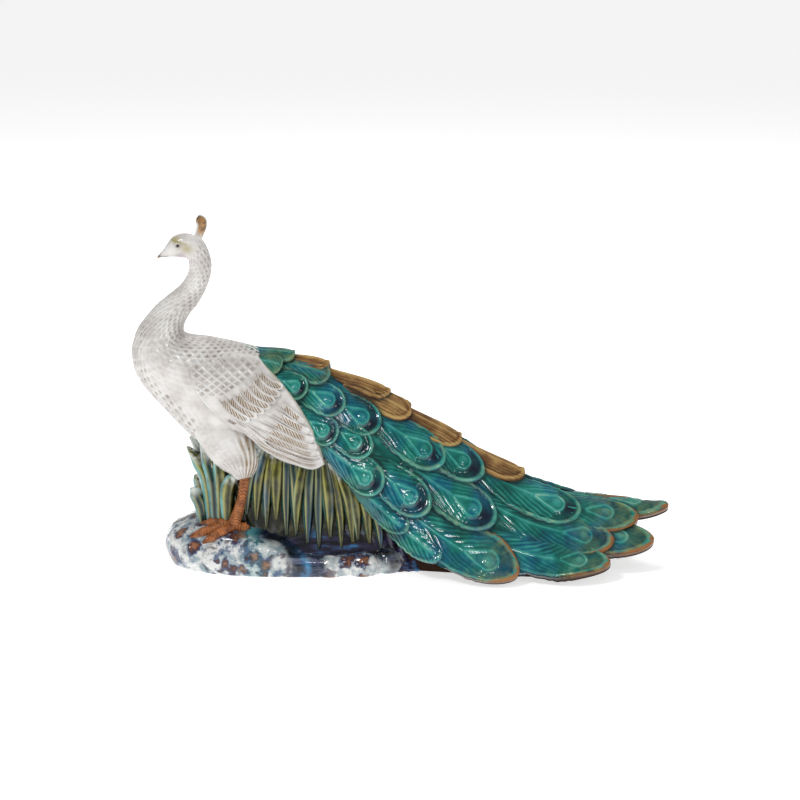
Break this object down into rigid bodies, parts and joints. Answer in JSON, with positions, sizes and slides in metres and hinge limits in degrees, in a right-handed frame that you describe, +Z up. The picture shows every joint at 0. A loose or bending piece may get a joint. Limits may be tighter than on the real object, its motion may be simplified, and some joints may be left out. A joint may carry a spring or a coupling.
{
  "type": "peacock figurine",
  "caption": "Glazed ceramic peacock standing on a rock base with reeds, long feathered train trailing behind",
  "frame": {"origin": "centre of the bounding box, at its bottom, on the ground", "axes": "+X runs from the beak to the end of the train, +Z up, the bird's left side faces -Y"},
  "size_m": [0.4796, 0.1832, 0.3138],
  "materials": {
    "glazed_ceramic": "glossy glaze on fired ceramic, teal on the train, white on the bird, olive reeds, white and brown rocks"
  },
  "bodies": {
    "root": {"peacock_figurine": "glazed_ceramic"}
  },
  "joints": []
}
